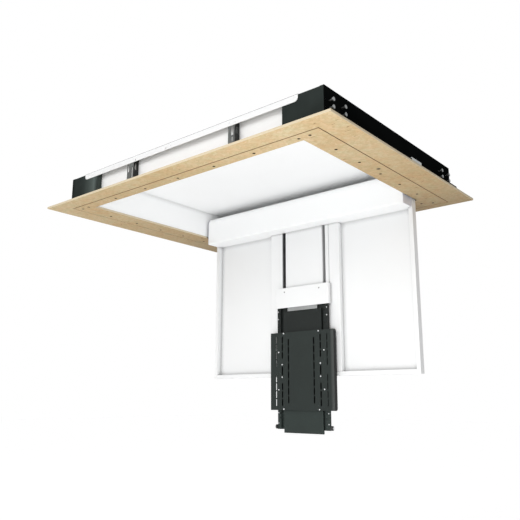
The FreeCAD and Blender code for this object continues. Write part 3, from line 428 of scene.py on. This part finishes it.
def black_coat(name, rough):
    """Matt black coat: deep black on the long outer face, dark green-grey on those beside it.

    The faces beside it carry a painted highlight across the left corner box.
    """
    surface = Surface(name, rough, spec=0.0)
    cloud = surface.noise(PANEL_CLOUD_SCALE)
    deep = surface.ramp(cloud, list(zip(CLOUD_STOPS, DEEP_BLACK)))
    beside = surface.ramp(cloud, list(zip(CLOUD_STOPS, GREEN_BLACK)))
    highlight_tones = surface.ramp(surface.mapped(surface.place["X"], PANEL_HIGHLIGHT_SPAN),
                         [(place, grey(tone)) for place, tone in PANEL_HIGHLIGHT_TONES])
    outwards = surface.maths("ABSOLUTE", surface.place["X"])
    outer = surface.maths("GREATER_THAN", outwards, PANEL_FACE_X)
    surface.colour(surface.mixed(outer, surface.times(beside, highlight_tones), deep))
    return surface.grained()


def lacquer(name, colour, rough):
    """Smooth painted panel with a slight orange peel, and painted shade in inner corners."""
    surface = Surface(name, rough)
    surface.colour(surface.clouded(colour, *PANEL_CLOUD), PANEL_CORNER_SHADE)
    peel = surface.noise(PEEL_SCALE, 1.0)
    surface.gloss(peel, rough, PEEL_GLOSS)
    return surface.bumps(peel, *PEEL_BUMPS)


def metal(name, colour, rough, along=ALONG_X, scale=LINE_SCALE):
    """Metal with fine lines along one axis."""
    surface = Surface(name, rough, metal=1.0)
    lines = surface.noise(scale, 3.0, surface.stretched(along))
    body = surface.clouded(colour, *METAL_CLOUD)
    surface.colour(surface.times(body, surface.ramp(lines, LINE_TONES)))
    surface.gloss(lines, rough, METAL_GLOSS)
    return surface.bumps(lines, *METAL_BUMPS)


def plastic(name, colour, rough):
    """Moulded plastic with a fine grain."""
    surface = Surface(name, rough)
    surface.colour(surface.clouded(colour, *PLASTIC_CLOUD))
    return surface.bumps(surface.noise(PLASTIC_GRAIN, 1.0), *PLASTIC_BUMPS)


def board_joint(surface):
    """1 on the line between the two ring boards, 0 elsewhere and at its left end."""
    x, y = surface.place["X"], surface.place["Y"]
    across = surface.maths("ABSOLUTE", x)
    along = surface.maths("ABSOLUTE", surface.maths("SUBTRACT", y, JOINT_MIDDLE))
    beyond = surface.maths("MAXIMUM", surface.maths("SUBTRACT", across, JOINT_HALF_X),
                           surface.maths("SUBTRACT", along, JOINT_HALF_Y))
    off = surface.maths("ABSOLUTE", surface.maths("ADD", beyond, JOINT_INSET))
    shown = surface.maths("GREATER_THAN", x, JOINT_LEFT_END - JOINT_HALF_X)
    return surface.maths("MULTIPLY", surface.maths("LESS_THAN", off, JOINT_WIDTH), shown)


def wood_board(name):
    """Pale pressed wood board: flakes of several tones, dark strokes and a dark joint line.

    Painted light and shade run along X and Y, and a painted highlight lies on the edges facing +X
    and -Y.
    """
    surface = Surface(name, WOOD_ROUGH, spec=0.3)
    warp = surface.noise(WARP_SCALE, 3.0)
    bent = surface.add("ShaderNodeVectorMath", {0: warp, 1: grey(WARP_REACH), 2: surface.coords},
                       operation="MULTIPLY_ADD")
    flakes = surface.add("ShaderNodeTexVoronoi", {
        "Vector": bent.outputs["Vector"], "Scale": FLAKE_SCALE})
    chips = surface.add("ShaderNodeSeparateColor", {"Color": flakes.outputs["Color"]}).outputs
    slanted = surface.stretched(STROKE_STRETCH, STROKE_TURN)
    body = surface.ramp(chips["Red"], FLAKE_COLOURS)
    # The depth and length steps are painted light and shade; the others are the board's own
    for pattern, stops in (
            (surface.noise(BOARD_CLOUD_SCALE, 3.0), BOARD_CLOUDS),
            (surface.noise(STROKE_SCALE, 2.0, slanted), BOARD_STROKES),
            (surface.noise(SPECK_SCALE), BOARD_SPECKS),
            (surface.mapped(surface.place["Y"], BOARD_DEPTH), BOARD_DEPTH_LIGHT_AND_SHADE),
            (surface.mapped(surface.place["X"], BOARD_LENGTH), BOARD_LENGTH_LIGHT_AND_SHADE),
            (surface.noise(HUE_SCALE), BOARD_HUES)):
        body = surface.times(body, surface.ramp(pattern, stops))
    # Painted highlight on the edges that face +X and -Y
    lit_edge = surface.maths("MAXIMUM", surface.facing("X", POSITIVE), surface.facing("Y", NEGATIVE))
    body = surface.mixed(lit_edge, body, BOARD_EDGE_HIGHLIGHT)
    surface.colour(surface.mixed(board_joint(surface), body, BOARD_JOINT), WOOD_CORNER_SHADE)
    surface.gloss(chips["Green"], WOOD_ROUGH, WOOD_GLOSS)
    return surface.bumps(surface.noise(COARSE_GRAIN, 3.0), *WOOD_BUMPS)


PLATE_LOW, PLATE_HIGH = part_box("tv_plate")
PLATE_RIM = 0.03
HIGHLIGHT_START = 0.026
HIGHLIGHT_FULL = 0.012
PLATE_SHADE_SPAN = (PLATE_LOW.z + PLATE_RIM, PLATE_HIGH.z - PLATE_RIM)
PLATE_HIGHLIGHT_SPAN = (PLATE_HIGH.x - HIGHLIGHT_START, PLATE_HIGH.x - HIGHLIGHT_FULL)
MATERIALS = {
    "wood_board": wood_board("wood_board"),
    "black_steel": dark_steel("black_steel", PLATE_BLACK, 0.50),
    # Painted highlight beside the plate's bend
    "black_plate": dark_steel("black_plate", PLATE_BLACK, 0.50, highlight_span=PLATE_HIGHLIGHT_SPAN),
    # Painted shade on the column behind the plate
    "black_column": dark_steel("black_column", COLUMN_BLACK, 0.50, shade_span=PLATE_SHADE_SPAN),
    "black_panel": black_coat("black_panel", 0.6),
    "white_steel": powder_coat("white_steel", WHITE, 0.5, WHITE_SPREAD, corner_shade=WHITE_CORNER_SHADE),
    # Painted shade: the roof's coat is a darker copy of the white
    "roof_coat": powder_coat("roof_coat", shade(WHITE, ROOF_SHADE_TONE), 0.5, WHITE_SPREAD,
                             corner_shade=WHITE_CORNER_SHADE),
    # Painted shade: the rails' coat is a darker copy of the white
    "rail_coat": rail_coat("rail_coat", shade(SHADED_WHITE, RAIL_SHADE_TONE), 0.5),
    # Painted shade: the flap's parts take the darker copy of the white
    "guide_coat": guide_coat("guide_coat", SHADED_WHITE, 0.5),
    "flap_panel": lacquer("flap_panel", SHADED_WHITE, 0.4),
    "frame_coat": powder_coat("frame_coat", SHADED_WHITE, 0.5, WHITE_SPREAD, corner_shade=FRAME_CORNER_SHADE),
    "grey_bracket": bracket_steel("grey_bracket", (0.105, 0.112, 0.108), 0.5),
    "bright_steel": metal("bright_steel", (0.66, 0.67, 0.68), 0.3),
    "zinc_screw": metal("zinc_screw", (0.92, 0.93, 0.94), 0.35),
    "grey_bolt": metal("grey_bolt", (0.28, 0.29, 0.29), 0.42),
    "dark_screw": powder_coat("dark_screw", (0.018, 0.010, 0.005), 0.7, 0.15, spec=0.0),
    "gear_steel": metal("gear_steel", (0.20, 0.205, 0.21), 0.42),
    "motor_aluminium": metal("motor_aluminium", (0.40, 0.41, 0.41), 0.40, ALONG_Z,
                             MOTOR_LINE_SCALE),
    "pale_grey": plastic("pale_grey", (0.60, 0.62, 0.60), 0.5),
    "end_cap": plastic("end_cap", (0.74, 0.745, 0.81), 0.5),
    "black_plastic": plastic("black_plastic", (0.012, 0.013, 0.013), 0.5),
    "sliding_plastic": plastic("sliding_plastic", (0.72, 0.72, 0.69), 0.45),
}

# Nodes with a finish of their own in place of their slot's

FINISH_OF_NODE = {
    "end_panel_left": "black_panel",
    "end_panel_right": "black_panel",
    "roof_sheet": "roof_coat",
    "ceiling_rail_near": "rail_coat",
    "ceiling_rail_far": "rail_coat",
    "flap_skin": "flap_panel",
    "flap_frame": "frame_coat",
    "guide_rail_left": "guide_coat",
    "guide_rail_right": "guide_coat",
    "tv_plate": "black_plate",
    "column_channel": "black_column",
    "column_cover": "black_column",
    "guide_panel": "frame_coat",
    "sliding_cover": "frame_coat",
    # Painted light: the right rack takes bright steel, a lighter copy of the left rack's steel
    "rack_right": "bright_steel",
    "plate_screws": "zinc_screw",
    "column_rivets": "zinc_screw",
    "side_bolts": "grey_bolt",
    "cover_screws": "grey_bolt",
    "head_box_end_left": "end_cap",
    "head_box_end_right": "end_cap",
}


def dress_nodes():
    """Give every CAD node its finish, with smooth shading over small angles only."""
    for row in frame["record"]["subparts"]:
        finish = FINISH_OF_NODE.get(row["node"], row["material_slot"])
        mesh = NODES[row["node"]].data
        mesh.materials.clear()
        mesh.materials.append(MATERIALS[finish])
        for face in mesh.polygons:
            face.use_smooth = True
        mesh.set_sharp_from_angle(angle=SMOOTH_ANGLE)


# Camera, floor and light

def place_object(name, data):
    """A new object in the scene."""
    item = bpy.data.objects.new(name, data)
    bpy.context.scene.collection.objects.link(item)
    return item


def add_camera():
    """The camera at its fitted place, turned from +Y, raised and rolled."""
    data = bpy.data.cameras.new("Camera")
    data.sensor_width = SENSOR
    data.lens = FOCAL_PIXELS / IMAGE_WIDTH * SENSOR
    data.clip_start = 0.05
    data.clip_end = 200
    camera = place_object("Camera", data)
    forward = Vector((-math.sin(CAMERA_TURN) * math.cos(CAMERA_RISE),
                      math.cos(CAMERA_TURN) * math.cos(CAMERA_RISE), math.sin(CAMERA_RISE)))
    right = forward.cross(Vector((0, 0, 1))).normalized()
    down = forward.cross(right)
    cos_roll, sin_roll = math.cos(CAMERA_ROLL), math.sin(CAMERA_ROLL)
    x_axis = cos_roll * right + sin_roll * down
    y_axis = sin_roll * right - cos_roll * down
    matrix = Matrix((x_axis, y_axis, -forward)).transposed().to_4x4()
    matrix.translation = CAMERA_PLACE
    camera.matrix_world = matrix
    bpy.context.scene.camera = camera


def add_world():
    """A world that shows white, and lights the part less from the shade's direction."""
    world = bpy.data.worlds.new("Studio")
    bpy.context.scene.world = world
    graph = Graph(world)
    coords = graph.add("ShaderNodeTexCoord", {})
    share = graph.add("ShaderNodeVectorMath", {0: coords.outputs["Generated"], 1: SHADE_DIRECTION},
                      operation="DOT_PRODUCT")
    level = graph.add("ShaderNodeMapRange", {
        "Value": share.outputs["Value"], "From Min": SHADE_START, "From Max": SHADE_FULL,
        "To Min": OPEN_LIGHT, "To Max": SHADE_LIGHT}, interpolation_type="SMOOTHSTEP")
    light = graph.add("ShaderNodeBackground", {"Strength": level.outputs["Result"]})
    seen = graph.add("ShaderNodeBackground", {"Color": (1, 1, 1, 1)})
    graph.add("ShaderNodeOutputWorld", {
        "Surface": graph.seen_or_lit(light.outputs[0], seen.outputs[0])})


def add_floor():
    """A pale floor that glows to the camera, so that it shows as white."""
    mesh = bpy.data.meshes.new("Floor")
    corners = [(-FLOOR_HALF, -FLOOR_HALF), (FLOOR_HALF, -FLOOR_HALF),
               (FLOOR_HALF, FLOOR_HALF), (-FLOOR_HALF, FLOOR_HALF)]
    mesh.from_pydata([(x, y, FLOOR_LEVEL) for x, y in corners], [], [(0, 1, 2, 3)])
    floor = place_object("Floor", mesh)
    material = bpy.data.materials.new("Floor")
    graph = Graph(material)
    plain = graph.add("ShaderNodeBsdfDiffuse", {"Color": (*grey(FLOOR_GREY), 1)}).outputs[0]
    glow = graph.add("ShaderNodeEmission", {"Strength": FLOOR_GLOW}).outputs[0]
    both = graph.add("ShaderNodeAddShader", {0: plain, 1: glow}).outputs[0]
    graph.add("ShaderNodeOutputMaterial", {"Surface": graph.seen_or_lit(plain, both)})
    mesh.materials.append(material)


def add_lamp(name, place, target, size, power):
    """A rectangular lamp that the camera doesn't see."""
    data = bpy.data.lights.new(name, "AREA")
    data.shape = "RECTANGLE"
    data.size, data.size_y = size
    data.energy = power
    lamp = place_object(name, data)
    lamp.location = place
    lamp.rotation_euler = (Vector(target) - Vector(place)).to_track_quat("-Z", "Y").to_euler()
    lamp.visible_camera = False


add_camera()
add_world()
add_floor()
for lamp_name, lamp_values in LAMPS.items():
    add_lamp(lamp_name, *lamp_values)
dress_nodes()
bpy.context.scene.view_settings.view_transform = "Standard"
